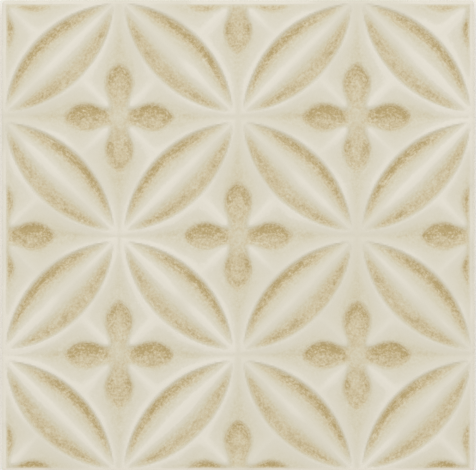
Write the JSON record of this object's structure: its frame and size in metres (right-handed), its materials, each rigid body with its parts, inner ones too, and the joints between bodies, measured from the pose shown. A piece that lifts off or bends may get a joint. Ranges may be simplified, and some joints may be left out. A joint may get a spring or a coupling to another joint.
{
  "type": "relief glazed tile",
  "caption": "Square glazed wall tile with a raised pattern of overlapping circles, grooved petals and sunk four-armed flowers, and shallow keys in its back.",
  "frame": {"origin": "middle of the tile's back, in the plane that it beds on", "axes": "+Z from the back up to the relief face; X and Y along the tile's edges"},
  "size_m": [0.148, 0.148, 0.009],
  "materials": {
    "glazed_earthenware": "satin cream glaze, tan where it pools in the relief, over a pale biscuit body left bare on the back"
  },
  "bodies": {
    "root": {"relief_tile": "glazed_earthenware"}
  },
  "joints": []
}
